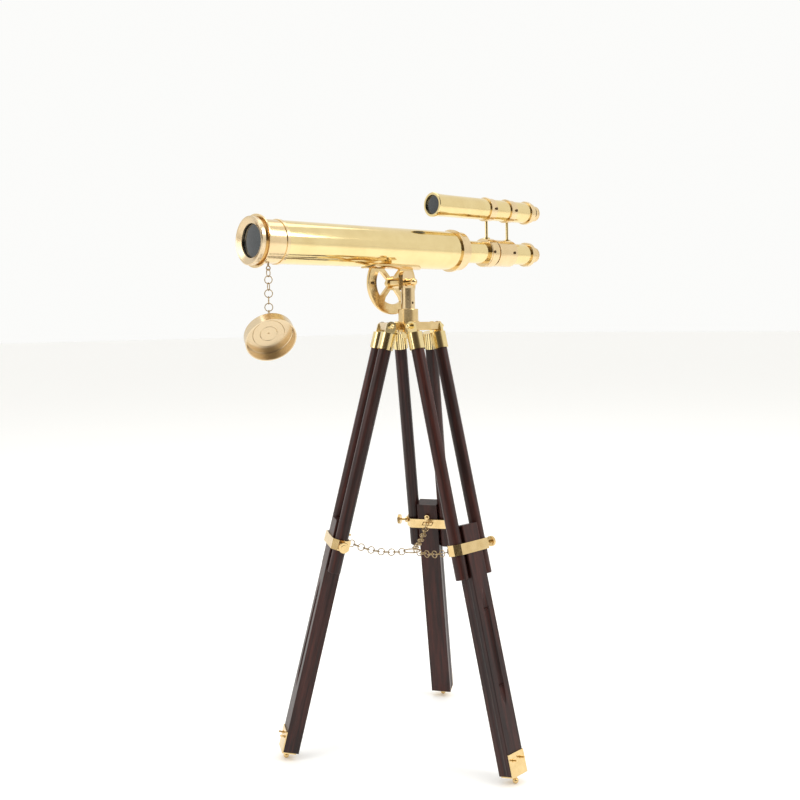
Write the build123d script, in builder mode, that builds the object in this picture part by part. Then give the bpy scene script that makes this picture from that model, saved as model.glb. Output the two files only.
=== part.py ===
"""Double-barrel brass telescope on a folding wooden tripod.

Units are millimetres.  The floor is z = 0 and the pillar stands on the Z axis.
Both barrels run along Y: objectives towards -Y, eyepieces towards +Y.
"""
import os
from math import atan, cos, hypot, radians, sin, tan

from build123d import *

os.makedirs("parts", exist_ok=True)

# ---- main barrel -------------------------------------------------------------
TUBE_X = -29.0          # plane of both barrels and of the altitude wheel
TUBE_Z = 576.0          # height of the main optical axis
TUBE_R = 23.85
TUBE_BORE = 23.05
TUBE_FRONT = -160.6
TUBE_REAR = 96.0
CELL_FRONT = -192.5     # front face of the objective cell
RING_R = 26.2           # retaining ring, the lens cap fits over it
APERTURE_R = 18.35
LENS_R = 20.5
NECK_R = 23.75
NARROW_R = 14.3         # fixed tube behind the shoulder cap
NARROW_BORE = 13.85
NARROW_END = 206.0
DRAW_R = 13.8           # sliding focus tube
DRAW_BORE = 13.1
EYE_FLANGE_Y = 236.0
EYE_R = 10.0            # eyepiece barrel of both telescopes
EYE_END = 256.0

# ---- finder ------------------------------------------------------------------
FINDER_Z = 632.0
FINDER_R = 13.7
FINDER_BORE = 13.1
FINDER_FRONT = 67.5
FINDER_REAR = 235.8
POST_R = 1.85
POST_YS = (163.6, 202.5)
FINDER_COLLAR_YS = (159.0, 197.2)
COLLAR_FRONT_R = 18.5
COLLAR_REAR_R = 17.4

# ---- eye shutters ------------------------------------------------------------
EYE_HOLE_R = 2.5
SLOT_WIDTH = 1.2
LEAF_THICK = 0.8
LEAF_R = 4.9
LEAF_PIVOT = (6.0, -3.6)    # sideways and up from the optical axis
LEAF_PIN_R = 0.8
MAIN_SLOT_Y = 247.6
FINDER_SLOT_Y = 250.2

# ---- altitude wheel and pillar -----------------------------------------------
WHEEL_Z = 534.0
WHEEL_R = 37.0
WHEEL_INNER_R = 24.9
WHEEL_THICK = 4.4
SADDLE_R = 25.4
BOSS_R = 6.35
PIVOT_R = 2.5
PIVOT_BORE = 2.55
TANG_THICK = 7.5
PILLAR_R = 8.05
PILLAR_FOOT_Z = 491.1
PILLAR_TOP_Z = 547.0
TANG_ROOT_Z = 527.0
SPINDLE_R = 4.5
SPINDLE_END_Z = 468.5

# ---- tripod ------------------------------------------------------------------
LEGS = {"a": 3.4, "b": 123.4, "c": 243.4}   # azimuth of each leg
SPLAY = 14.15           # angle of each leg from the vertical
HINGE_R = 26.5          # hinge line, out from the pillar axis
HINGE_Z = 483.0
BAR_HALF = 19.8         # hinge bar of the head, half length
DOWEL_T = 19.0          # dowels, sideways from the leg's centre plane
DOWEL_R = 7.3
DOWEL_END = 283.0
FERRULE_R = 9.0
TONGUE_IN = 20.0
TONGUE_OUT = 23.6
HINGE_BOLT_R = 2.0
CLAMP_S = 251.0         # centre of the clamp band, down the leg
CLAMP_TALL = 11.7
BAND_THICK = 1.4
PLANK_T = 12.4          # half width of the sliding plank
PLANK_N = 8.95          # half thickness
PLANK_TOP = 226.5
PLANK_BOTTOM = 488.2
PLATE = 1.2             # foot bracket sheet
BALL_R = 3.25
BALL_N = 2.0

# ---- chains ------------------------------------------------------------------
WIRE_R = 0.5
STRAND_LINK_R = 3.8     # centre line radius of a spreader link
STRAND_LINKS = 11
STRAND_SAG = 4.0
RING_WIRE_R = 0.65
RING_CENTRE_R = 9.35
RING_Z = 221.5
STAPLE_N = -14.6
STAPLE_WIRE_R = 0.6
CAP_LINK_R = 4.2
CAP_LINKS = 8
CAP_PITCH = 7.35
CHAIN_Y = -173.5
EYELET_Z = 547.4

# ---- lens cap ----------------------------------------------------------------
CAP_R = 27.2
CAP_INNER_R = 26.4
CAP_DEPTH = 12.5
CAP_SKIN = 0.8
CAP_AZIMUTH = -17.7     # way the open side faces as the cap hangs
CAP_DIP = 36.0          # and how far it looks down


def save(piece, name):
    """Label one sub-part and write its STEP file."""
    piece.part.label = name
    export_step(piece.part, f"parts/{name}.step")


def sight_plane(height):
    """Plane holding an optical axis: local x along the barrel, local y up."""
    return Plane(origin=(TUBE_X, 0, height), x_dir=(0, 1, 0), z_dir=(1, 0, 0))


def sight_axis(height):
    return Axis((TUBE_X, 0, height), (0, 1, 0))


def cross_plane(along, height):
    """Plane square to the barrels: local x is +X, local y is up, extrudes forward."""
    return Plane(origin=(TUBE_X, along, height), x_dir=(1, 0, 0), z_dir=(0, -1, 0))


def outer_corners(points):
    """The convex corners of a closed outline, away from the axis."""
    closed = [points[-1]] + points + [points[0]]
    turns = []
    for before, here, after in zip(closed, closed[1:], closed[2:]):
        ax, ay = here[0] - before[0], here[1] - before[1]
        bx, by = after[0] - here[0], after[1] - here[1]
        turns.append((ax * by - ay * bx, here))
    loop = zip(points, closed[2:])
    area = sum(p[0] * q[1] - q[0] * p[1] for p, q in loop)
    return [p for turn, p in turns if turn * area > 0 and p[1] > 0.1]


def section(points, height, soften=0.0):
    """Half section drawn as (distance along, radius) points, outer corners eased."""
    with BuildSketch(sight_plane(height)) as shape:
        with BuildLine():
            Polyline(*points, close=True)
        make_face()
        if soften:
            eased = outer_corners(points)
            corners = [
                v
                for v in shape.vertices()
                if any(abs(v.X - x) + abs(v.Y - r) < 0.001 for x, r in eased)
            ]
            fillet(corners, soften)
    return shape.sketch


def lens_section(front, rear, radius, bulge, height):
    """Half section of a lens: domed towards the sky, flat behind."""
    dome = (radius**2 + bulge**2) / (2 * bulge)
    halfway = front - bulge + dome - (dome**2 - radius**2 / 4) ** 0.5
    with BuildSketch(sight_plane(height)) as shape:
        with BuildLine():
            Line((front - bulge, 0), (rear, 0))
            Line((rear, 0), (rear, radius))
            Line((rear, radius), (front, radius))
            ThreePointArc((front, radius), (halfway, radius / 2), (front - bulge, 0))
        make_face()
    return shape.sketch


def along_line(start, end):
    """Location at start whose Z axis runs towards end."""
    way = Vector(*end) - Vector(*start)
    return Plane(origin=start, z_dir=way).location


def leg_plane(azimuth):
    """Leg frame at the hinge: x sideways, y outward, z down the leg."""
    a = radians(azimuth)
    s = radians(SPLAY)
    return Plane(
        origin=(HINGE_R * cos(a), HINGE_R * sin(a), HINGE_Z),
        x_dir=(-sin(a), cos(a), 0),
        z_dir=(sin(s) * cos(a), sin(s) * sin(a), -cos(s)),
    )


# ==== main barrel =============================================================

def make_objective_ring():
    """Dished retaining ring in front of the objective."""
    outline = [
        (CELL_FRONT, APERTURE_R),
        (CELL_FRONT - 2.3, APERTURE_R),
        (CELL_FRONT - 4.9, 23.4),
        (CELL_FRONT - 5.5, 25.0),
        (CELL_FRONT - 4.6, RING_R),
        (CELL_FRONT, RING_R),
    ]
    with BuildPart() as objective_ring:
        revolve(section(outline, TUBE_Z, 0.4), axis=sight_axis(TUBE_Z))
    save(objective_ring, "objective_ring")


def make_objective_lens():
    with BuildPart() as objective_lens:
        glass = lens_section(CELL_FRONT + 0.9, CELL_FRONT + 3.9, LENS_R, 1.6, TUBE_Z)
        revolve(glass, axis=sight_axis(TUBE_Z))
    save(objective_lens, "objective_lens")


def make_objective_cell():
    """Lens seat, thin flange, neck, bead and the spigot inside the main tube."""
    seat = CELL_FRONT + 3.9
    outline = [
        (CELL_FRONT, LENS_R + 0.05),
        (CELL_FRONT, 24.3),
        (CELL_FRONT + 2.7, 24.3),
        (CELL_FRONT + 2.7, 28.75),
        (CELL_FRONT + 4.6, 28.75),
        (CELL_FRONT + 4.6, NECK_R),
        (-164.4, NECK_R),
        (-164.4, 24.75),
        (TUBE_FRONT, 24.75),
        (TUBE_FRONT, TUBE_BORE - 0.05),
        (-150.0, TUBE_BORE - 0.05),
        (-150.0, 21.4),
        (seat + 3.0, 21.4),
        (seat + 3.0, 18.8),
        (seat, 18.8),
        (seat, LENS_R + 0.05),
    ]
    with BuildPart() as objective_cell:
        revolve(section(outline, TUBE_Z, 0.2), axis=sight_axis(TUBE_Z))
        # hole for the cap chain's eyelet
        with Locations((TUBE_X, CHAIN_Y, TUBE_Z - NECK_R)):
            Cylinder(0.65, 3.6, mode=Mode.SUBTRACT)
    save(objective_cell, "objective_cell")


def make_main_tube():
    outline = [
        (TUBE_FRONT, TUBE_BORE),
        (TUBE_FRONT, TUBE_R),
        (TUBE_REAR, TUBE_R),
        (TUBE_REAR, TUBE_BORE),
    ]
    with BuildPart() as main_tube:
        revolve(section(outline, TUBE_Z), axis=sight_axis(TUBE_Z))
    save(main_tube, "main_tube")


def make_rear_cap():
    """Shoulder cap between the wide and the narrow tube."""
    outline = [
        (TUBE_REAR - 10, 21.4),
        (TUBE_REAR - 10, TUBE_BORE - 0.05),
        (TUBE_REAR, TUBE_BORE - 0.05),
        (TUBE_REAR, 26.5),
        (TUBE_REAR + 3.4, 26.5),
        (TUBE_REAR + 3.4, 23.4),
        (TUBE_REAR + 4.1, 23.4),
        (TUBE_REAR + 4.1, 24.2),
        (TUBE_REAR + 15.6, 24.2),
        (TUBE_REAR + 15.6, NARROW_R + 0.02),
        (TUBE_REAR + 4.0, NARROW_R + 0.02),
        (TUBE_REAR + 4.0, 21.4),
    ]
    with BuildPart() as rear_cap:
        revolve(section(outline, TUBE_Z, 0.25), axis=sight_axis(TUBE_Z))
    save(rear_cap, "rear_cap")


def make_narrow_tube():
    """Fixed narrow tube; a step behind the shoulder stops the draw tube."""
    outline = [
        (TUBE_REAR + 2.0, NARROW_BORE),
        (TUBE_REAR + 2.0, 20.0),
        (TUBE_REAR + 4.0, 20.0),
        (TUBE_REAR + 4.0, NARROW_R),
        (NARROW_END, NARROW_R),
        (NARROW_END, NARROW_BORE),
    ]
    with BuildPart() as narrow_tube:
        revolve(section(outline, TUBE_Z), axis=sight_axis(TUBE_Z))
    save(narrow_tube, "narrow_tube")


def make_collar_front():
    outline = [
        (155.0, NARROW_R + 0.02),
        (155.0, COLLAR_FRONT_R - 0.6),
        (155.6, COLLAR_FRONT_R),
        (156.4, COLLAR_FRONT_R),
        (156.4, COLLAR_FRONT_R - 0.5),
        (157.2, COLLAR_FRONT_R - 0.5),
        (157.2, COLLAR_FRONT_R),
        (169.2, COLLAR_FRONT_R),
        (170.0, COLLAR_FRONT_R - 0.8),
        (170.0, NARROW_R + 0.02),
    ]
    with BuildPart() as collar_front:
        revolve(section(outline, TUBE_Z), axis=sight_axis(TUBE_Z))
        # post hole, then the screw's seat and hole
        with Locations((TUBE_X, POST_YS[0], TUBE_Z + COLLAR_FRONT_R)):
            Cylinder(1.55, 4.0, mode=Mode.SUBTRACT)
        with Locations((TUBE_X + COLLAR_FRONT_R - 0.4, 159.5, TUBE_Z)):
            Cylinder(
                1.9,
                2.0,
                rotation=(0, 90, 0),
                align=(Align.CENTER, Align.CENTER, Align.MIN),
                mode=Mode.SUBTRACT,
            )
            Cylinder(1.05, 6.0, rotation=(0, 90, 0), mode=Mode.SUBTRACT)
    save(collar_front, "collar_front")


def make_collar_rear():
    outline = [
        (172.5, NARROW_R + 0.02),
        (172.5, COLLAR_REAR_R),
        (204.8, COLLAR_REAR_R),
        (204.8, 16.2),
        (NARROW_END, 16.2),
        (NARROW_END, NARROW_R + 0.02),
    ]
    with BuildPart() as collar_rear:
        revolve(section(outline, TUBE_Z, 0.3), axis=sight_axis(TUBE_Z))
        with Locations((TUBE_X, POST_YS[1], TUBE_Z + COLLAR_REAR_R)):
            Cylinder(1.55, 4.0, mode=Mode.SUBTRACT)
        with Locations((TUBE_X + COLLAR_REAR_R - 0.4, 198.0, TUBE_Z)):
            Cylinder(
                1.9,
                2.0,
                rotation=(0, 90, 0),
                align=(Align.CENTER, Align.CENTER, Align.MIN),
                mode=Mode.SUBTRACT,
            )
            Cylinder(1.05, 4.0, rotation=(0, 90, 0), mode=Mode.SUBTRACT)
    save(collar_rear, "collar_rear")


def make_main_draw_tube():
    outline = [
        (150.0, DRAW_BORE),
        (150.0, DRAW_R),
        (EYE_FLANGE_Y, DRAW_R),
        (EYE_FLANGE_Y, DRAW_BORE),
    ]
    with BuildPart() as main_draw_tube:
        revolve(section(outline, TUBE_Z), axis=sight_axis(TUBE_Z))
    save(main_draw_tube, "main_draw_tube")


# ==== eyepieces and shutters ==================================================

def make_eyepiece(name, outline, height, slot_y, end):
    """Turned eyepiece with a knurled end, a shutter slot and its pivot pin."""
    with BuildPart() as eyepiece:
        revolve(section(outline, height, 0.25), axis=sight_axis(height))
        # knurling round the eye end
        with BuildSketch(cross_plane(end - 0.8, height)):
            with PolarLocations(EYE_R + 0.15, 36):
                Circle(0.45)
        extrude(amount=end - 0.8 - slot_y - SLOT_WIDTH - 0.8, mode=Mode.SUBTRACT)
        # slot for the shutter leaf, left joined along the bottom
        with BuildSketch(cross_plane(slot_y + SLOT_WIDTH, height)):
            with Locations((0, 7.3)):
                Rectangle(30, 25)
            with Locations(LEAF_PIVOT):
                Circle(2.2)
        extrude(amount=SLOT_WIDTH, mode=Mode.SUBTRACT)
        # pivot pin across the slot
        with BuildSketch(cross_plane(slot_y + SLOT_WIDTH + 0.5, height)):
            with Locations(LEAF_PIVOT):
                Circle(LEAF_PIN_R)
        extrude(amount=SLOT_WIDTH + 1.0)
    save(eyepiece, name)


def make_main_eyepiece():
    outline = [
        (EYE_FLANGE_Y - 6, 8.05),
        (EYE_FLANGE_Y - 6, DRAW_BORE - 0.05),
        (EYE_FLANGE_Y, DRAW_BORE - 0.05),
        (EYE_FLANGE_Y, 16.15),
        (EYE_FLANGE_Y + 6, 16.15),
        (EYE_FLANGE_Y + 6, EYE_R),
        (EYE_END, EYE_R),
        (EYE_END, 5.5),
        (EYE_END - 2.5, EYE_HOLE_R),
        (EYE_FLANGE_Y + 7, EYE_HOLE_R),
        (EYE_FLANGE_Y + 7, 8.05),
    ]
    make_eyepiece("main_eyepiece", outline, TUBE_Z, MAIN_SLOT_Y, EYE_END)


def make_finder_eyepiece():
    outline = [
        (200.0, 12.2),
        (200.0, FINDER_BORE - 0.05),
        (236.0, FINDER_BORE - 0.05),
        (236.0, 15.5),
        (240.0, 15.5),
        (240.0, 13.4),
        (246.2, 13.4),
        (246.2, EYE_R),
        (EYE_END + 1.5, EYE_R),
        (EYE_END + 1.5, 5.5),
        (EYE_END - 1.0, EYE_HOLE_R),
        (247.2, EYE_HOLE_R),
        (247.2, 8.05),
        (241.5, 8.05),
        (241.5, 12.2),
    ]
    make_eyepiece("finder_eyepiece", outline, FINDER_Z, FINDER_SLOT_Y, EYE_END + 1.5)


def make_eye_lens(name, rear, height):
    with BuildPart() as eye_lens:
        revolve(lens_section(rear - 2.4, rear, 8.0, 1.2, height), axis=sight_axis(height))
    save(eye_lens, name)


def make_shutter(name, slot_y, height):
    """Swinging leaf: disc over the eye hole, finger tab above, ear at the pin."""
    with BuildPart() as shutter:
        gap = (SLOT_WIDTH - LEAF_THICK) / 2
        with BuildSketch(cross_plane(slot_y + SLOT_WIDTH - gap, height)) as leaf:
            Circle(LEAF_R)
            with Locations((0, 8.4)):
                Rectangle(3.0, 8.2)
            with Locations(LEAF_PIVOT):
                Circle(2.0)
            with BuildLine():
                Polyline((2.0, -4.4), (5.2, -5.1), (7.6, -2.4), (3.0, 3.6), close=True)
            make_face()
            with Locations(LEAF_PIVOT):
                Circle(LEAF_PIN_R + 0.05, mode=Mode.SUBTRACT)
        extrude(amount=LEAF_THICK)
    save(shutter, name)


# ==== finder ==================================================================

def make_finder_tube():
    """Finder barrel with its flared, lipped objective end."""
    with BuildPart() as finder_tube:
        with BuildSketch(sight_plane(FINDER_Z)):
            with BuildLine():
                Line((FINDER_FRONT, 12.15), (FINDER_FRONT, 14.6))
                Line((FINDER_FRONT, 14.6), (FINDER_FRONT + 0.6, 15.2))
                Line((FINDER_FRONT + 0.6, 15.2), (FINDER_FRONT + 2.2, 15.2))
                Line((FINDER_FRONT + 2.2, 15.2), (FINDER_FRONT + 3.0, 14.6))
                ThreePointArc((FINDER_FRONT + 3.0, 14.6), (80.0, 13.95), (92.0, FINDER_R))
                Line((92.0, FINDER_R), (FINDER_REAR, FINDER_R))
                Line((FINDER_REAR, FINDER_R), (FINDER_REAR, FINDER_BORE))
                Line((FINDER_REAR, FINDER_BORE), (FINDER_FRONT + 2.0, FINDER_BORE))
                Line((FINDER_FRONT + 2.0, FINDER_BORE), (FINDER_FRONT + 2.0, 12.15))
                Line((FINDER_FRONT + 2.0, 12.15), (FINDER_FRONT, 12.15))
            make_face()
        revolve(axis=sight_axis(FINDER_Z))
    save(finder_tube, "finder_tube")


def make_finder_lens():
    with BuildPart() as finder_lens:
        glass = lens_section(FINDER_FRONT + 2.6, FINDER_FRONT + 5.0, 13.05, 1.2, FINDER_Z)
        revolve(glass, axis=sight_axis(FINDER_Z))
    save(finder_lens, "finder_lens")


def make_finder_collars():
    """Two flanged collars on the finder barrel, over the posts."""
    with BuildPart() as finder_collars:
        for y in FINDER_COLLAR_YS:
            outline = [
                (y, FINDER_R + 0.02),
                (y, 15.5),
                (y + 2.4, 15.5),
                (y + 2.4, 14.6),
                (y + 11.9, 14.6),
                (y + 11.9, FINDER_R + 0.02),
            ]
            revolve(section(outline, FINDER_Z, 0.15), axis=sight_axis(FINDER_Z))
            with Locations((TUBE_X + 14.5, y + 8.4, FINDER_Z)):
                Cylinder(1.05, 4.0, rotation=(0, 90, 0), mode=Mode.SUBTRACT)
                Cylinder(
                    1.9,
                    2.0,
                    rotation=(0, 90, 0),
                    align=(Align.CENTER, Align.CENTER, Align.MIN),
                    mode=Mode.SUBTRACT,
                )
    save(finder_collars, "finder_collars")


def make_finder_posts():
    """Two posts on curved saddles, their tops shaped to the finder collars."""
    with BuildPart() as finder_posts:
        for y, radius in zip(POST_YS, (COLLAR_FRONT_R, COLLAR_REAR_R)):
            with Locations((TUBE_X, y, TUBE_Z + radius - 1.8)):
                Cylinder(1.5, 6.0, align=(Align.CENTER, Align.CENTER, Align.MIN))
            with Locations((TUBE_X, y, TUBE_Z)):
                Cylinder(4.6, radius + 0.9, align=(Align.CENTER, Align.CENTER, Align.MIN))
            with Locations((TUBE_X, y, TUBE_Z)):
                Cylinder(radius, 12, rotation=(90, 0, 0), mode=Mode.SUBTRACT)
            # the pin below the saddle and the post above it
            with Locations((TUBE_X, y, TUBE_Z + radius - 1.8)):
                Cylinder(1.5, 3.0, align=(Align.CENTER, Align.CENTER, Align.MIN))
            with Locations((TUBE_X, y, TUBE_Z + radius + 0.2)):
                Cylinder(POST_R, 26.0, align=(Align.CENTER, Align.CENTER, Align.MIN))
            with Locations((TUBE_X, y, FINDER_Z)):
                Cylinder(14.6, 12, rotation=(90, 0, 0), mode=Mode.SUBTRACT)
    save(finder_posts, "finder_posts")


def make_fixing_screws():
    """Slotted screws on the collars and on the rim of the altitude wheel."""
    seats = [
        (TUBE_X + COLLAR_FRONT_R - 0.4, 159.5, TUBE_Z, 3.0),
        (TUBE_X + COLLAR_REAR_R - 0.4, 198.0, TUBE_Z, 2.0),
        (TUBE_X + 14.5, FINDER_COLLAR_YS[0] + 8.4, FINDER_Z, 0.6),
        (TUBE_X + 14.5, FINDER_COLLAR_YS[1] + 8.4, FINDER_Z, 0.6),
        (TUBE_X + WHEEL_THICK / 2, -31.0, WHEEL_Z, 3.0),
    ]
    with BuildPart() as fixing_screws:
        for x, y, z, depth in seats:
            with Locations((x, y, z)):
                Cylinder(
                    1.8,
                    1.3,
                    rotation=(0, 90, 0),
                    align=(Align.CENTER, Align.CENTER, Align.MIN),
                )
            with Locations((x, y, z)):
                Cylinder(
                    1.0,
                    depth,
                    rotation=(0, 90, 0),
                    align=(Align.CENTER, Align.CENTER, Align.MAX),
                )
            with Locations((x + 1.3, y, z)):
                Box(0.9, 0.6, 5.0, mode=Mode.SUBTRACT)
    save(fixing_screws, "fixing_screws")


# ==== altitude wheel, saddle and pivot ========================================

def make_altitude_wheel():
    """Spoked wheel, clipped above by the tube saddle, with its pivot boss."""
    face = Plane(
        origin=(TUBE_X - WHEEL_THICK / 2, 0, WHEEL_Z),
        x_dir=(0, 1, 0),
        z_dir=(1, 0, 0),
    )
    with BuildPart() as altitude_wheel:
        with BuildSketch(face):
            Circle(WHEEL_R)
            Circle(WHEEL_INNER_R, mode=Mode.SUBTRACT)
            Circle(8.4)
            for angle in (45, 135, 228, 312):
                with Locations(Location((0, 0, 0), (0, 0, angle))):
                    Polygon((5, -2.6), (20, -2.9), (26, -5.4), (26, 5.4), (20, 2.9), (5, 2.6),
                            align=None)
        extrude(amount=WHEEL_THICK)
        rim = altitude_wheel.edges().filter_by(GeomType.CIRCLE)
        outer = [e for e in rim if abs(e.radius - WHEEL_R) < 0.01]
        fillet(outer, 1.2)
        with BuildSketch(face.offset(WHEEL_THICK)):
            Circle(BOSS_R)
        extrude(amount=-TANG_THICK - 0.2 - TUBE_X - WHEEL_THICK / 2)
        with Locations((TUBE_X, 0, TUBE_Z)):
            Cylinder(SADDLE_R, 90, rotation=(90, 0, 0), mode=Mode.SUBTRACT)
        with Locations((TUBE_X, 0, WHEEL_Z)):
            Cylinder(PIVOT_R + 0.02, 80, rotation=(0, 90, 0), mode=Mode.SUBTRACT)
        with Locations((TUBE_X, -31.0, WHEEL_Z)):
            Cylinder(1.05, 10, rotation=(0, 90, 0), mode=Mode.SUBTRACT)
    save(altitude_wheel, "altitude_wheel")


def make_tube_saddle():
    """Curved plate between the wheel and the main tube."""
    with BuildPart() as tube_saddle:
        with BuildSketch(Plane.XY.offset(TUBE_Z - 30)):
            with Locations((TUBE_X, 0)):
                SlotOverall(86, 24, rotation=90)
        extrude(amount=30)
        with Locations((TUBE_X, 0, TUBE_Z)):
            Cylinder(SADDLE_R, 100, rotation=(90, 0, 0), mode=Mode.INTERSECT)
        with Locations((TUBE_X, 0, TUBE_Z)):
            Cylinder(TUBE_R, 100, rotation=(90, 0, 0), mode=Mode.SUBTRACT)
    save(tube_saddle, "tube_saddle")


def make_pivot_bolt():
    """Bolt through the wheel boss and the pillar tang, round head outside."""
    with BuildPart() as pivot_bolt:
        head_x = TUBE_X - WHEEL_THICK / 2
        with Locations(Location((head_x, 0, WHEEL_Z), (0, 90, 0))):
            Cylinder(PIVOT_R, 8.0 - head_x, align=(Align.CENTER, Align.CENTER, Align.MIN))
        with Locations(Location((head_x, 0, WHEEL_Z), (0, -90, 0))):
            Cylinder(4.6, 1.4, align=(Align.CENTER, Align.CENTER, Align.MIN))
            Cylinder(2.9, 8.6, align=(Align.CENTER, Align.CENTER, Align.MIN))
        tip = pivot_bolt.faces().sort_by(Axis.X)[0]
        fillet(tip.edges(), 1.6)
    save(pivot_bolt, "pivot_bolt")


def make_pivot_nut():
    """Ball-ended nut on the far end of the pivot bolt."""
    with BuildPart() as pivot_nut:
        with Locations(Location((0.2, 0, WHEEL_Z), (0, 90, 0))):
            Cylinder(4.8, 1.4, align=(Align.CENTER, Align.CENTER, Align.MIN))
            Cylinder(3.2, 7.0, align=(Align.CENTER, Align.CENTER, Align.MIN))
        with Locations((9.8, 0, WHEEL_Z)):
            Sphere(4.4)
        with Locations(Location((0, 0, WHEEL_Z), (0, 90, 0))):
            Cylinder(
                PIVOT_BORE,
                8.2,
                align=(Align.CENTER, Align.CENTER, Align.MIN),
                mode=Mode.SUBTRACT,
            )
    save(pivot_nut, "pivot_nut")


def make_pillar():
    """Round pillar with a flat tang above and the turning spindle below."""
    with BuildPart() as pillar:
        with Locations((0, 0, PILLAR_FOOT_Z)):
            Cylinder(
                PILLAR_R,
                TANG_ROOT_Z - PILLAR_FOOT_Z,
                align=(Align.CENTER, Align.CENTER, Align.MIN),
            )
        # flat tang beside the wheel boss, its top corners rounded
        with BuildSketch(Plane.YZ) as tang:
            with Locations((0, (PILLAR_TOP_Z + TANG_ROOT_Z - 2) / 2)):
                Rectangle(15.2, PILLAR_TOP_Z - TANG_ROOT_Z + 2)
            fillet(tang.vertices().group_by(Axis.Y)[-1], 5.0)
        extrude(amount=-TANG_THICK)
        with Locations((0, 0, SPINDLE_END_Z)):
            Cylinder(
                SPINDLE_R,
                PILLAR_FOOT_Z - SPINDLE_END_Z,
                align=(Align.CENTER, Align.CENTER, Align.MIN),
            )
        with Locations((0, 0, WHEEL_Z)):
            Cylinder(PIVOT_BORE, 40, rotation=(0, 90, 0), mode=Mode.SUBTRACT)
        with Locations(Location((0, 0, 510), (0, 90, -42))):
            with Locations((0, 0, PILLAR_R)):
                Cylinder(1.45, 8.0, mode=Mode.SUBTRACT)
    save(pillar, "pillar")


def make_pillar_set_screw():
    with BuildPart() as pillar_set_screw:
        with Locations(Location((0, 0, 510), (0, 90, -42))):
            with Locations((0, 0, PILLAR_R - 4.0)):
                Cylinder(1.4, 3.9, align=(Align.CENTER, Align.CENTER, Align.MIN))
            with Locations((0, 0, PILLAR_R - 0.1)):
                Box(0.5, 4.0, 1.0, mode=Mode.SUBTRACT)
    save(pillar_set_screw, "pillar_set_screw")


def make_spindle_nut():
    """Flanged hexagon nut under the tripod head."""
    with BuildPart() as spindle_nut:
        with BuildSketch(Plane.XY.offset(SPINDLE_END_Z + 0.8)):
            RegularPolygon(7.6, 6)
        extrude(amount=5.2)
        with Locations((0, 0, SPINDLE_END_Z + 6.0)):
            Cylinder(9.0, 1.4, align=(Align.CENTER, Align.CENTER, Align.MIN))
        Cylinder(SPINDLE_R, 1200, mode=Mode.SUBTRACT)
    save(spindle_nut, "spindle_nut")


# ==== tripod head =============================================================

def make_tripod_head():
    """Hub and socket with three hinge bars on arms."""
    with BuildPart() as tripod_head:
        with Locations((0, 0, 476.2)):
            Cylinder(13.0, 12.8, align=(Align.CENTER, Align.CENTER, Align.MIN))
        with Locations((0, 0, 489.0)):
            Cylinder(11.7, 14.0, align=(Align.CENTER, Align.CENTER, Align.MIN))
        top = tripod_head.faces().sort_by(Axis.Z)[-1]
        fillet(top.edges(), 0.8)
        for azimuth in LEGS.values():
            with Locations(Location((0, 0, HINGE_Z), (0, 0, azimuth))):
                with Locations((HINGE_R / 2 + 3, 0, 0)):
                    Box(HINGE_R - 4, 13.0, 8.4)
            a = radians(azimuth)
            bar = Plane(
                origin=(HINGE_R * cos(a), HINGE_R * sin(a), HINGE_Z),
                x_dir=(cos(a), sin(a), 0),
                z_dir=(sin(a), -cos(a), 0),
            )
            with BuildSketch(bar):
                RectangleRounded(8.0, 9.5, 1.2)
            extrude(amount=BAR_HALF, both=True)
        for azimuth in LEGS.values():
            with Locations(Location((0, 0, HINGE_Z), (0, 0, azimuth))):
                with Locations(Location((HINGE_R, 0, 0), (90, 0, 0))):
                    Cylinder(HINGE_BOLT_R + 0.02, 60, mode=Mode.SUBTRACT)
        with Locations((0, 0, PILLAR_FOOT_Z - 0.1)):
            Cylinder(
                PILLAR_R + 0.05,
                20,
                align=(Align.CENTER, Align.CENTER, Align.MIN),
                mode=Mode.SUBTRACT,
            )
        with Locations((0, 0, 480)):
            Cylinder(SPINDLE_R + 0.05, 40, mode=Mode.SUBTRACT)
    save(tripod_head, "tripod_head")


def make_hinge_bolts():
    """Three hinge bolts with domed heads at both ends."""
    with BuildPart() as hinge_bolts:
        for azimuth in LEGS.values():
            for side in (90, -90):
                with Locations(Location((0, 0, HINGE_Z), (0, 0, azimuth))):
                    with Locations(Location((HINGE_R, 0, 0), (side, 0, 0))):
                        Cylinder(
                            HINGE_BOLT_R,
                            TONGUE_OUT + 0.4,
                            align=(Align.CENTER, Align.CENTER, Align.MIN),
                        )
                        with Locations((0, 0, TONGUE_OUT + 0.2)):
                            Cylinder(
                                3.5,
                                2.0,
                                align=(Align.CENTER, Align.CENTER, Align.MIN),
                            )
                        with Locations((0, 0, TONGUE_OUT + 2.2)):
                            Cylinder(
                                2.6,
                                2.6,
                                align=(Align.CENTER, Align.CENTER, Align.MIN),
                            )
                            with Locations((0, 0, 2.2)):
                                Sphere(2.6)
    save(hinge_bolts, "hinge_bolts")


# ==== one leg =================================================================

def make_dowel(name, azimuth, side):
    """Round upper stave of a leg."""
    with BuildPart(leg_plane(azimuth)) as dowel:
        with Locations((side * DOWEL_T, 0, 11)):
            Cylinder(DOWEL_R, DOWEL_END - 11, align=(Align.CENTER, Align.CENTER, Align.MIN))
        ends = dowel.edges().filter_by(GeomType.CIRCLE)
        fillet(ends, 0.8)
    save(dowel, name)


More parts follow.
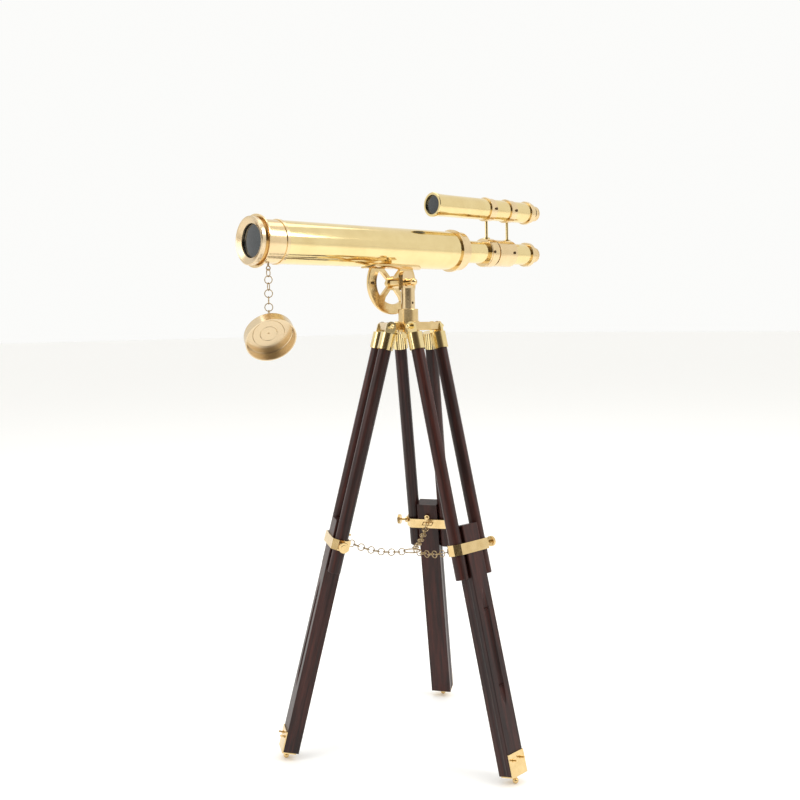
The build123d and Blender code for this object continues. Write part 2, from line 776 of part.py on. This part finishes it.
def make_ferrules(name, azimuth):
    """Pair of closed brass ferrules with hinge tongues."""
    frame = leg_plane(azimuth)
    with BuildPart(frame) as ferrules:
        for side in (-1, 1):
            with Locations((side * DOWEL_T, 0, 8)):
                Cylinder(FERRULE_R, 19, align=(Align.CENTER, Align.CENTER, Align.MIN))
            with Locations((side * DOWEL_T, 0, 11)):
                Cylinder(
                    DOWEL_R,
                    30,
                    align=(Align.CENTER, Align.CENTER, Align.MIN),
                    mode=Mode.SUBTRACT,
                )
            middle = side * (TONGUE_IN + TONGUE_OUT) / 2
            wide = TONGUE_OUT - TONGUE_IN
            with Locations((middle, 0, 4.6)):
                Box(wide, 11.0, 9.2)
            with Locations((middle, 0, 0)):
                Cylinder(5.5, wide, rotation=(0, 90, 0))
                Cylinder(
                    HINGE_BOLT_R + 0.05,
                    wide + 2,
                    rotation=(0, 90, 0),
                    mode=Mode.SUBTRACT,
                )
    save(ferrules, name)


def make_clamp_band(name, azimuth):
    """Folded band round both dowels and the plank, with a chain staple."""
    frame = leg_plane(azimuth)
    half_t = DOWEL_T + DOWEL_R + BAND_THICK
    half_n = PLANK_N + 0.05 + BAND_THICK
    crease_t = 22.0
    crease_n = 4.0
    outline = [
        (crease_t, half_n),
        (half_t, crease_n),
        (half_t, -crease_n),
        (crease_t, -half_n),
        (-crease_t, -half_n),
        (-half_t, -crease_n),
        (-half_t, crease_n),
        (-crease_t, half_n),
    ]
    low = CLAMP_S - CLAMP_TALL / 2
    with BuildPart(frame) as clamp_band:
        with BuildSketch(frame.offset(low)) as ring:
            with BuildLine():
                Polyline(*outline, close=True)
            make_face()
            offset(amount=-BAND_THICK, mode=Mode.SUBTRACT)
        extrude(amount=CLAMP_TALL)
        # threaded boss for the clamp screw
        with Locations((half_t, 0, CLAMP_S)):
            Cylinder(
                3.6,
                2.8,
                rotation=(0, 90, 0),
                align=(Align.CENTER, Align.CENTER, Align.MIN),
            )
            Cylinder(1.55, 12, rotation=(0, 90, 0), mode=Mode.SUBTRACT)
        # staple standing off the inner face
        with Locations((0, STAPLE_N, CLAMP_S)):
            Cylinder(STAPLE_WIRE_R, 13.2, rotation=(0, 90, 0))
        for t in (-6, 6):
            with Locations((t, (STAPLE_N - half_n) / 2 + 0.2, CLAMP_S)):
                Cylinder(0.5, -STAPLE_N - half_n + 0.4, rotation=(90, 0, 0))
    save(clamp_band, name)


def make_clamp_screw(name, azimuth):
    """Thumb screw bearing on the dowel through the band's boss."""
    frame = leg_plane(azimuth)
    tip = DOWEL_T + DOWEL_R + 0.1
    with BuildPart(frame) as clamp_screw:
        with Locations(Location((tip, 0, CLAMP_S), (0, 90, 0))):
            Cylinder(1.5, 11.0, align=(Align.CENTER, Align.CENTER, Align.MIN))
            with Locations((0, 0, 10.4)):
                Cylinder(5.8, 3.4, align=(Align.CENTER, Align.CENTER, Align.MIN))
                with PolarLocations(5.95, 24):
                    Cylinder(
                        0.5,
                        8.0,
                        mode=Mode.SUBTRACT,
                    )
            with Locations((0, 0, 13.8)):
                Cylinder(3.2, 0.8, align=(Align.CENTER, Align.CENTER, Align.MIN))
    save(clamp_screw, name)


def make_plank(name, azimuth):
    """Sliding lower stave: side grooves for the dowels, a flute outside."""
    frame = leg_plane(azimuth)
    length = PLANK_BOTTOM - PLANK_TOP
    flute_n = PLANK_N + 1.2
    lifted = PLANK_N + 4.3
    marks = [(296, lifted), (318, flute_n), (398, flute_n), (420, lifted)]
    with BuildPart(frame) as plank:
        with Locations((0, 0, PLANK_TOP)):
            Box(
                2 * PLANK_T,
                2 * PLANK_N,
                length,
                align=(Align.CENTER, Align.CENTER, Align.MIN),
            )
        arrises = [e for e in plank.edges() if abs(e.length - length) < 0.01]
        fillet(arrises, 1.0)
        for side in (-1, 1):
            with Locations((side * DOWEL_T, 0, PLANK_TOP - 1)):
                Cylinder(
                    DOWEL_R + 0.06,
                    length + 2,
                    align=(Align.CENTER, Align.CENTER, Align.MIN),
                    mode=Mode.SUBTRACT,
                )
        for (s0, n0), (s1, n1) in zip(marks, marks[1:]):
            run = ((s1 - s0) ** 2 + (n1 - n0) ** 2) ** 0.5
            way = Plane(origin=(0, n0, s0), z_dir=(0, n1 - n0, s1 - s0)).location
            with Locations(way):
                Cylinder(
                    4.2,
                    run,
                    align=(Align.CENTER, Align.CENTER, Align.MIN),
                    mode=Mode.SUBTRACT,
                )
        # seats for the stop screw, the bracket screws and the foot stem
        with Locations((0, -PLANK_N, CLAMP_S - CLAMP_TALL / 2 - 3.2)):
            Cylinder(1.25, 12, rotation=(90, 0, 0), mode=Mode.SUBTRACT)
        with Locations((-6.2, PLANK_N, 473.0), (6.2, PLANK_N, 473.0)):
            Cylinder(1.05, 12, rotation=(90, 0, 0), mode=Mode.SUBTRACT)
        with Locations((0, BALL_N, PLANK_BOTTOM)):
            Cylinder(2.25, 16, mode=Mode.SUBTRACT)
    save(plank, name)


def make_foot_bracket(name, azimuth):
    """Angle plate on the outer face, folded under the plank."""
    top = 466.2
    tall = PLANK_BOTTOM + PLATE - top
    with BuildPart(leg_plane(azimuth)) as foot_bracket:
        with Locations((0, PLANK_N + PLATE / 2, top + tall / 2)):
            Box(2 * PLANK_T - 0.4, PLATE, tall)
        with Locations((0, 1.8, PLANK_BOTTOM + PLATE / 2)):
            Box(2 * PLANK_T - 0.4, 2 * PLANK_N - 2.4, PLATE)
        with Locations((-6.2, PLANK_N, 473.0), (6.2, PLANK_N, 473.0)):
            Cylinder(1.05, 6, rotation=(90, 0, 0), mode=Mode.SUBTRACT)
        with Locations((0, BALL_N, PLANK_BOTTOM)):
            Cylinder(2.25, 6, mode=Mode.SUBTRACT)
    save(foot_bracket, name)


def make_foot_fittings(name, azimuth):
    """Ball foot on its stem, two bracket screws and the stop screw."""
    s = radians(SPLAY)
    ball_s = (HINGE_Z - BALL_R + BALL_N * sin(s)) / cos(s)
    stop_s = CLAMP_S - CLAMP_TALL / 2 - 3.2
    with BuildPart(leg_plane(azimuth)) as foot_fittings:
        with Locations((0, BALL_N, PLANK_BOTTOM - 7)):
            Cylinder(
                2.2,
                ball_s - PLANK_BOTTOM + 7,
                align=(Align.CENTER, Align.CENTER, Align.MIN),
            )
        with Locations((0, BALL_N, PLANK_BOTTOM + PLATE)):
            Cylinder(3.2, 0.8, align=(Align.CENTER, Align.CENTER, Align.MIN))
        with Locations((0, BALL_N, ball_s)):
            Sphere(BALL_R)
        for t in (-6.2, 6.2):
            with Locations((t, PLANK_N + PLATE, 473.0)):
                Cylinder(1.0, 10, rotation=(90, 0, 0))
                with Locations((0, 0.35, 0)):
                    Cylinder(1.8, 0.7, rotation=(90, 0, 0))
        with Locations((0, -PLANK_N - 1.3, stop_s)):
            Cylinder(3.15, 2.6, rotation=(90, 0, 0))
        with Locations((0, -PLANK_N, stop_s)):
            Cylinder(1.2, 10, rotation=(90, 0, 0))
        with Locations((0, -PLANK_N - 2.6, stop_s)):
            Box(7.0, 1.0, 0.8, mode=Mode.SUBTRACT)
    save(foot_fittings, name)


def make_strand(name, azimuth):
    """Spreader chain from the staple in towards the central ring."""
    a = radians(azimuth)
    s = radians(SPLAY)
    first_n = STAPLE_N - STRAND_LINK_R + WIRE_R + STAPLE_WIRE_R + 0.08
    first_r = HINGE_R + CLAMP_S * sin(s) + first_n * cos(s)
    first_z = HINGE_Z - CLAMP_S * cos(s) + first_n * sin(s)
    last_r = RING_CENTRE_R + STRAND_LINK_R - WIRE_R - RING_WIRE_R - 0.05
    # the links hang on a shallow circular arc
    chord = hypot(last_r - first_r, RING_Z - first_z)
    ur, uz = (last_r - first_r) / chord, (RING_Z - first_z) / chord
    vr, vz = -uz, ur
    if vz > 0:
        vr, vz = -vr, -vz
    half = 2 * atan(2 * STRAND_SAG / chord)
    bend = chord / (2 * sin(half))
    with BuildPart() as strand:
        for i in range(STRAND_LINKS):
            angle = half * (2 * i / (STRAND_LINKS - 1) - 1)
            along = chord / 2 + bend * sin(angle)
            drop = bend * (cos(angle) - cos(half))
            r = first_r + ur * along + vr * drop
            z = first_z + uz * along + vz * drop
            tr = ur * cos(angle) - vr * sin(angle)
            tz = uz * cos(angle) - vz * sin(angle)
            if i % 2 == 0:
                normal = (-sin(a), cos(a), 0)
            else:
                normal = (-tz * cos(a), -tz * sin(a), tr)
            place = Plane(origin=(r * cos(a), r * sin(a), z), z_dir=normal).location
            with Locations(place):
                Torus(STRAND_LINK_R, WIRE_R)
    save(strand, name)


def make_central_ring():
    with BuildPart() as central_ring:
        with Locations((0, 0, RING_Z)):
            Torus(RING_CENTRE_R, RING_WIRE_R)
    save(central_ring, "central_ring")


# ==== lens cap and its chain ==================================================

def chain_top():
    """Centre of the eyelet wire that carries the first link."""
    return EYELET_Z - 2.2


def cap_pivot_z():
    """Centre of the last link's lower wire, where the cap swings."""
    first = chain_top() - (CAP_LINK_R - WIRE_R - 0.6 - 0.3)
    return first - CAP_PITCH * (CAP_LINKS - 1) - CAP_LINK_R


def make_cap_eyelet():
    """Wire eyelet driven into the underside of the neck."""
    with BuildPart() as cap_eyelet:
        loop = Plane(origin=(TUBE_X, CHAIN_Y, EYELET_Z), z_dir=(-0.5, 0.866, 0)).location
        with Locations(loop):
            Torus(2.2, 0.6)
        with Locations((TUBE_X, CHAIN_Y, EYELET_Z + 1.9)):
            Cylinder(0.5, 4.5, align=(Align.CENTER, Align.CENTER, Align.MIN))
        # wire wound twice round the shank
        for up in (2.9, 3.8):
            with Locations((TUBE_X, CHAIN_Y, EYELET_Z + up)):
                Cylinder(1.2, 0.7, align=(Align.CENTER, Align.CENTER, Align.MIN))
    save(cap_eyelet, "cap_eyelet")


def make_cap_chain():
    """Hanging chain, each link turned against the one above."""
    with BuildPart() as cap_chain:
        first = cap_pivot_z() + CAP_LINK_R + CAP_PITCH * (CAP_LINKS - 1)
        for i in range(CAP_LINKS):
            turn = radians(30 - 84 * i)
            place = Plane(
                origin=(TUBE_X, CHAIN_Y, first - CAP_PITCH * i),
                z_dir=(cos(turn), sin(turn), 0),
            ).location
            with Locations(place):
                Torus(CAP_LINK_R, WIRE_R)
    save(cap_chain, "cap_chain")


def make_lens_cap():
    """Spun cap hanging from an eyelet above the middle of its back."""
    azimuth = radians(CAP_AZIMUTH)
    dip = radians(CAP_DIP)
    opening = Vector(cos(dip) * cos(azimuth), cos(dip) * sin(azimuth), -sin(dip))
    upward = Vector(sin(dip) * cos(azimuth), sin(dip) * sin(azimuth), cos(dip))
    sideways = Vector(-sin(azimuth), cos(azimuth), 0)
    pivot = Vector(TUBE_X, CHAIN_Y, cap_pivot_z())
    stand_off = 3.05        # pivot behind the back face
    balance = 3.27          # centre of mass in front of the back face
    raised = (stand_off + balance) / tan(dip)
    back = pivot - upward * raised + opening * stand_off
    frame = Plane(origin=back, x_dir=sideways, z_dir=opening)
    loop = Plane(origin=pivot - Vector(0, 0, 1.05), z_dir=sideways)
    side_plane = Plane(origin=back, x_dir=opening, z_dir=-sideways)
    outline = [
        (0, 0),
        (0, CAP_R - 1.2),
        (0.35, CAP_R - 0.35),
        (1.2, CAP_R),
        (CAP_DEPTH - 1.0, CAP_R),
        (CAP_DEPTH - 1.0, CAP_R + 0.5),
        (CAP_DEPTH, CAP_R + 0.5),
        (CAP_DEPTH, CAP_INNER_R),
        (CAP_SKIN + 0.6, CAP_INNER_R),
        (CAP_SKIN, CAP_INNER_R - 0.6),
        (CAP_SKIN, 17.5),
        (CAP_SKIN + 0.25, 17.2),
        (CAP_SKIN, 16.9),
        (CAP_SKIN, 9.5),
        (CAP_SKIN + 0.25, 9.2),
        (CAP_SKIN, 8.9),
        (CAP_SKIN, 1.2),
        (CAP_SKIN + 0.8, 0.9),
        (CAP_SKIN + 0.9, 0),
    ]
    with BuildPart() as lens_cap:
        with BuildSketch(side_plane):
            with BuildLine():
                Polyline(*outline, close=True)
            make_face()
        revolve(axis=Axis(back, opening))
        with Locations(loop.location):
            Torus(2.2, 0.6)
    save(lens_cap, "lens_cap")


# ==== build everything ========================================================

make_objective_ring()
make_objective_lens()
make_objective_cell()
make_main_tube()
make_rear_cap()
make_narrow_tube()
make_collar_front()
make_collar_rear()
make_main_draw_tube()
make_main_eyepiece()
make_finder_eyepiece()
make_eye_lens("main_eye_lens", EYE_FLANGE_Y + 7, TUBE_Z)
make_eye_lens("finder_eye_lens", 247.2, FINDER_Z)
make_shutter("main_shutter", MAIN_SLOT_Y, TUBE_Z)
make_shutter("finder_shutter", FINDER_SLOT_Y, FINDER_Z)
make_finder_tube()
make_finder_lens()
make_finder_collars()
make_finder_posts()
make_fixing_screws()
make_altitude_wheel()
make_tube_saddle()
make_pivot_bolt()
make_pivot_nut()
make_pillar()
make_pillar_set_screw()
make_spindle_nut()
make_tripod_head()
make_hinge_bolts()
for leg, angle in LEGS.items():
    make_dowel(f"dowel_left_{leg}", angle, -1)
    make_dowel(f"dowel_right_{leg}", angle, 1)
    make_ferrules(f"ferrules_{leg}", angle)
    make_clamp_band(f"clamp_band_{leg}", angle)
    make_clamp_screw(f"clamp_screw_{leg}", angle)
    make_plank(f"plank_{leg}", angle)
    make_foot_bracket(f"foot_bracket_{leg}", angle)
    make_foot_fittings(f"foot_fittings_{leg}", angle)
    make_strand(f"strand_{leg}", angle)
make_central_ring()
make_cap_eyelet()
make_cap_chain()
make_lens_cap()
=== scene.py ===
import math

import bpy
from mathutils import Matrix, Vector

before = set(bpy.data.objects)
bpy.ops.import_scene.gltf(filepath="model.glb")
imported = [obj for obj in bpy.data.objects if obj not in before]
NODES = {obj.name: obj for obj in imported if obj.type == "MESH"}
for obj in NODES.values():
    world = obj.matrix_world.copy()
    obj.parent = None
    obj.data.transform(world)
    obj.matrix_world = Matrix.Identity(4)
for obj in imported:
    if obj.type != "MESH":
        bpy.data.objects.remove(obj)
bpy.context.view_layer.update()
LEG_AZIMUTH = {"a": 3.4, "b": 123.4, "c": 243.4}
SPLAY = math.radians(14.15)
WOOD_EASING = 0.0005
CASTING_EASING = 0.0003
BEVEL_ANGLE = math.radians(32)
CREASE_ANGLE = math.radians(28)
GRAIN_STRETCH = 14.0
GRAIN_SHARE = 0.55


# ---- materials ---------------------------------------------------------------

def new_material(name):
    mat = bpy.data.materials.new(name)
    mat.use_nodes = True
    tree = mat.node_tree
    shader = tree.nodes["Principled BSDF"]
    return mat, tree, shader


def add(tree, kind, **inputs):
    node = tree.nodes.new(kind)
    for key, value in inputs.items():
        node.inputs[key.replace("_", " ")].default_value = value
    return node


def ramp(tree, source, stops):
    node = tree.nodes.new("ShaderNodeValToRGB")
    bars = node.color_ramp.elements
    while len(bars) < len(stops):
        bars.new(0.5)
    for bar, (at, colour) in zip(bars, stops):
        bar.position = at
        bar.color = colour
    tree.links.new(source, node.inputs["Fac"])
    return node.outputs["Color"]


def rgba(r, g, b):
    return (r, g, b, 1.0)


def brass(name, light, dark, rough, blotch, bump):
    """Brass with faint tarnish clouds, uneven polish and very fine turning marks."""
    mat, tree, shader = new_material(name)
    coords = tree.nodes.new("ShaderNodeTexCoord")
    clouds = add(tree, "ShaderNodeTexNoise", Scale=blotch, Detail=5.0, Roughness=0.55)
    tree.links.new(coords.outputs["Object"], clouds.inputs["Vector"])
    tint = ramp(tree, clouds.outputs["Fac"], [(0.3, dark), (0.7, light)])
    tree.links.new(tint, shader.inputs["Base Color"])
    shader.inputs["Metallic"].default_value = 1.0
    smear = add(tree, "ShaderNodeTexNoise", Scale=blotch * 3.0, Detail=3.0, Roughness=0.5)
    tree.links.new(coords.outputs["Object"], smear.inputs["Vector"])
    polish = tree.nodes.new("ShaderNodeMapRange")
    polish.inputs["To Min"].default_value = rough * 0.75
    polish.inputs["To Max"].default_value = rough * 1.3
    tree.links.new(smear.outputs["Fac"], polish.inputs["Value"])
    tree.links.new(polish.outputs["Result"], shader.inputs["Roughness"])
    fine = add(tree, "ShaderNodeTexNoise", Scale=900.0, Detail=2.0, Roughness=0.5)
    tree.links.new(coords.outputs["Object"], fine.inputs["Vector"])
    relief = add(tree, "ShaderNodeBump", Strength=bump, Distance=0.0004)
    tree.links.new(fine.outputs["Fac"], relief.inputs["Height"])
    tree.links.new(relief.outputs["Normal"], shader.inputs["Normal"])
    return mat


def rosewood(name, way):
    """Dark red-brown wood, grain running along way, semi-gloss with open pores."""
    mat, tree, shader = new_material(name)
    coords = tree.nodes.new("ShaderNodeTexCoord")
    turn = tree.nodes.new("ShaderNodeMapping")
    turn.vector_type = "TEXTURE"
    turn.inputs["Rotation"].default_value = Vector(way).to_track_quat("Z", "Y").to_euler()
    turn.inputs["Scale"].default_value = (1.0, 1.0, GRAIN_STRETCH)
    tree.links.new(coords.outputs["Object"], turn.inputs["Vector"])
    grain = add(tree, "ShaderNodeTexNoise", Scale=330.0, Detail=6.0, Roughness=0.62)
    broad = add(tree, "ShaderNodeTexNoise", Scale=70.0, Detail=4.0, Roughness=0.5)
    tree.links.new(turn.outputs["Vector"], grain.inputs["Vector"])
    tree.links.new(turn.outputs["Vector"], broad.inputs["Vector"])
    mixed = tree.nodes.new("ShaderNodeMath")
    mixed.operation = "MULTIPLY_ADD"
    mixed.inputs[1].default_value = GRAIN_SHARE
    tree.links.new(grain.outputs["Fac"], mixed.inputs[0])
    bands = tree.nodes.new("ShaderNodeMath")
    bands.operation = "MULTIPLY"
    bands.inputs[1].default_value = 1.0 - GRAIN_SHARE
    tree.links.new(broad.outputs["Fac"], bands.inputs[0])
    tree.links.new(bands.outputs[0], mixed.inputs[2])
    stops = [
        (0.32, rgba(0.006, 0.0022, 0.0018)),
        (0.47, rgba(0.022, 0.0058, 0.0042)),
        (0.58, rgba(0.048, 0.011, 0.0075)),
        (0.72, rgba(0.085, 0.020, 0.012)),
    ]
    colour = ramp(tree, mixed.outputs[0], stops)
    tree.links.new(colour, shader.inputs["Base Color"])
    shader.inputs["Roughness"].default_value = 0.38
    shader.inputs["Specular IOR Level"].default_value = 0.32
    shader.inputs["Coat Weight"].default_value = 0.05
    shader.inputs["Coat Roughness"].default_value = 0.22
    relief = add(tree, "ShaderNodeBump", Strength=0.35, Distance=0.0004)
    tree.links.new(grain.outputs["Fac"], relief.inputs["Height"])
    tree.links.new(relief.outputs["Normal"], shader.inputs["Normal"])
    return mat


def lens_with_painted_shade(name):
    """Lens drawn opaque, near black with a clear gloss: the near black is painted shade for the
    dark barrel seen through the glass.
    """
    mat, tree, shader = new_material(name)
    coords = tree.nodes.new("ShaderNodeTexCoord")
    haze = add(tree, "ShaderNodeTexNoise", Scale=30.0, Detail=2.0, Roughness=0.5)
    tree.links.new(coords.outputs["Object"], haze.inputs["Vector"])
    # painted shade: this near-black tint stands in for the unlit inside of the barrel seen
    # through the clear lens
    tint = ramp(
        tree,
        haze.outputs["Fac"],
        [(0.3, rgba(0.012, 0.016, 0.018)), (0.7, rgba(0.028, 0.034, 0.037))],
    )
    tree.links.new(tint, shader.inputs["Base Color"])
    shader.inputs["Roughness"].default_value = 0.07
    shader.inputs["Specular IOR Level"].default_value = 0.55
    shader.inputs["Coat Weight"].default_value = 0.35
    shader.inputs["Coat Roughness"].default_value = 0.04
    return mat


def plain(name, dark, light, rough, metal=0.0):
    """One colour with a slight mottle."""
    mat, tree, shader = new_material(name)
    coords = tree.nodes.new("ShaderNodeTexCoord")
    noise = add(tree, "ShaderNodeTexNoise", Scale=60.0, Detail=4.0, Roughness=0.5)
    tree.links.new(coords.outputs["Object"], noise.inputs["Vector"])
    tint = ramp(tree, noise.outputs["Fac"], [(0.3, dark), (0.7, light)])
    tree.links.new(tint, shader.inputs["Base Color"])
    shader.inputs["Roughness"].default_value = rough
    shader.inputs["Metallic"].default_value = metal
    return mat


BRASS = brass("polished brass", rgba(0.84, 0.68, 0.35), rgba(0.77, 0.60, 0.29), 0.10, 40.0, 0.012)
TURNED = brass("turned brass", rgba(0.82, 0.64, 0.38), rgba(0.74, 0.55, 0.30), 0.17, 40.0, 0.012)
CAST = brass("cast brass", rgba(0.80, 0.60, 0.31), rgba(0.67, 0.48, 0.22), 0.17, 90.0, 0.08)
AGED = brass("aged brass", rgba(0.50, 0.38, 0.21), rgba(0.34, 0.24, 0.13), 0.3, 120.0, 0.1)
SPUN = brass("spun brass", rgba(0.74, 0.60, 0.40), rgba(0.66, 0.51, 0.32), 0.24, 18.0, 0.006)
# lens colour is painted shade: the dark inside of the barrel behind the glass, drawn onto the
# glass itself
GLASS = lens_with_painted_shade("lens with painted inner shade")
STEEL = plain("blackened screw", rgba(0.05, 0.035, 0.02), rgba(0.16, 0.10, 0.05), 0.35, 0.9)
KNURL = brass("dark brass", rgba(0.42, 0.28, 0.12), rgba(0.22, 0.14, 0.06), 0.35, 150.0, 0.2)


def leg_way(azimuth):
    """Unit vector down the leg at azimuth, along which its wood grain runs."""
    a = math.radians(azimuth)
    return (math.sin(SPLAY) * math.cos(a), math.sin(SPLAY) * math.sin(a), -math.cos(SPLAY))


WOOD = {leg: rosewood("rosewood " + leg, leg_way(az)) for leg, az in LEG_AZIMUTH.items()}

CHOICE = {
    "objective_ring": SPUN,
    "objective_cell": TURNED,
    "rear_cap": TURNED,
    "collar_front": TURNED,
    "collar_rear": TURNED,
    "finder_collars": TURNED,
    "main_eyepiece": TURNED,
    "finder_eyepiece": TURNED,
    "altitude_wheel": CAST,
    "tripod_head": CAST,
    "tube_saddle": CAST,
    "pillar": TURNED,
    "pivot_nut": CAST,
    "pivot_bolt": CAST,
    "cap_chain": AGED,
    "cap_eyelet": AGED,
    "central_ring": AGED,
    "lens_cap": SPUN,
    "fixing_screws": STEEL,
    "pillar_set_screw": STEEL,
    "main_shutter": KNURL,
    "finder_shutter": KNURL,
}


def material_for(name):
    """Material of a node: by its own name first, then by its kind."""
    if name in CHOICE:
        return CHOICE[name]
    if name.startswith(("dowel", "plank")):
        return WOOD[name[-1]]
    if name.endswith("_lens"):
        return GLASS
    if name.startswith("strand"):
        return AGED
    if name.startswith(("clamp", "foot")):
        return CAST
    return BRASS


def shade_smooth(obj):
    for poly in obj.data.polygons:
        poly.use_smooth = True


def soften(obj, width):
    """Rounds the sharp corners a little and smooths the shading between them."""
    shade_smooth(obj)
    bevel = obj.modifiers.new("edges", "BEVEL")
    bevel.width = width
    bevel.segments = 2
    bevel.limit_method = "ANGLE"
    bevel.angle_limit = BEVEL_ANGLE
    bevel.use_clamp_overlap = True
    bevel.harden_normals = True


for name, node in NODES.items():
    node.data.materials.clear()
    node.data.materials.append(material_for(name))
    if name.startswith(("dowel", "plank")):
        soften(node, WOOD_EASING)
    elif name.startswith(("foot_bracket", "clamp_band", "tripod_head", "altitude_wheel")):
        soften(node, CASTING_EASING)
    else:
        shade_smooth(node)
        node.data.set_sharp_from_angle(angle=CREASE_ANGLE)

# ---- floor, light and camera --------------------------------------------------

bpy.ops.mesh.primitive_plane_add(size=60.0, location=(0, 0, 0))
floor = bpy.context.object
floor.name = "floor"
pale = plain("pale floor", rgba(0.88, 0.88, 0.87), rgba(0.92, 0.92, 0.91), 0.7)
glow = pale.node_tree.nodes["Principled BSDF"]
glow.inputs["Specular IOR Level"].default_value = 0.1
glow.inputs["Emission Color"].default_value = (1.0, 0.985, 0.96, 1.0)
glow.inputs["Emission Strength"].default_value = 0.16
floor.data.materials.append(pale)

AIM = Vector((-0.05, 0.0, 0.35))


def panel(name, place, target, wide, tall, power):
    """Rectangular soft light at place, facing target."""
    data = bpy.data.lights.new(name, "AREA")
    data.shape = "RECTANGLE"
    data.size = wide
    data.size_y = tall
    data.energy = power
    lamp = bpy.data.objects.new(name, data)
    lamp.location = place
    lamp.rotation_euler = (Vector(target) - Vector(place)).to_track_quat("-Z", "Y").to_euler()
    bpy.context.scene.collection.objects.link(lamp)
    return lamp


key = panel("key", (1.9, 0.9, 2.2), AIM, 1.2, 1.2, 26.0)
fill = panel("fill", (-0.6, -2.3, 1.5), AIM, 1.2, 1.8, 14.0)
top = panel("top", (-0.2, 0.1, 2.8), AIM, 2.4, 2.4, 22.0)

world = bpy.data.worlds.new("studio")
bpy.context.scene.world = world
world.use_nodes = True
sky = world.node_tree
back = sky.nodes["Background"]
coords = sky.nodes.new("ShaderNodeTexCoord")
# the room is white all round but for the dim side that the camera stands on
side = sky.nodes.new("ShaderNodeVectorMath")
side.operation = "DOT_PRODUCT"
side.inputs[1].default_value = (0.7467, -0.665, 0.0)
sky.links.new(coords.outputs["Generated"], side.inputs[0])
stops = [
    (0.30, rgba(0.97, 0.97, 0.955)),
    (0.55, rgba(0.78, 0.75, 0.68)),
    (0.76, rgba(0.20, 0.17, 0.14)),
    (1.00, rgba(0.07, 0.06, 0.05)),
]
tone = ramp(sky, side.outputs["Value"], stops)
sky.links.new(tone, back.inputs["Color"])
back.inputs["Strength"].default_value = 1.0

camera_data = bpy.data.cameras.new("camera")
camera = bpy.data.objects.new("camera", camera_data)
bpy.context.scene.collection.objects.link(camera)
camera_data.sensor_width = 36.0
camera_data.lens = 43.8
camera_data.shift_y = -0.0975
camera.location = (0.8459, -0.7527, 0.4879)
heading = math.atan2(0.7528, 0.6583)
camera.rotation_euler = (
    Matrix.Rotation(heading, 3, "Z")
    @ Matrix.Rotation(math.radians(90), 3, "X")
    @ Matrix.Rotation(math.radians(-0.84), 3, "Z")
).to_euler()
bpy.context.scene.camera = camera
bpy.context.scene.view_settings.view_transform = "Standard"
